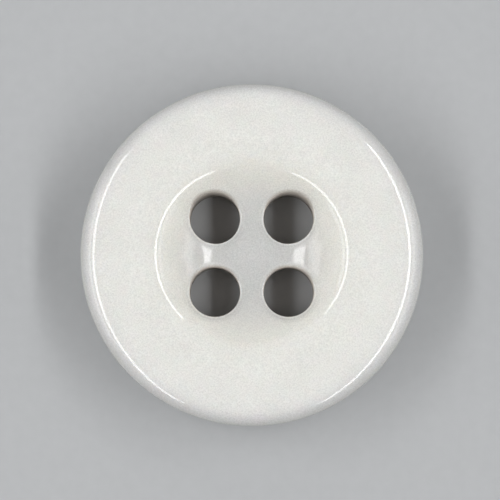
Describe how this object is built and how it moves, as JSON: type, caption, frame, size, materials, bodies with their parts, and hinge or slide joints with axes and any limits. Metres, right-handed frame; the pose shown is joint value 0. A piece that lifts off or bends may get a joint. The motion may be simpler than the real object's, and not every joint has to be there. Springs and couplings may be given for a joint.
{
  "type": "sew-on button",
  "caption": "Round white sew-on button: a broad, glossy, slightly domed brim around a round dish, with thread holes in a square through the dish's floor.",
  "frame": {"origin": "middle of the flat back face", "axes": "+Z from the flat back towards the dished face, along the button's axis; +X and +Y run along the sides of the square of thread holes"},
  "size_m": [0.017, 0.017, 0.0036],
  "materials": {
    "button": "polished opaque white cast polyester, very slightly warm, with a faint cloudiness under the gloss"
  },
  "bodies": {
    "root": {"button": "button"}
  },
  "joints": []
}
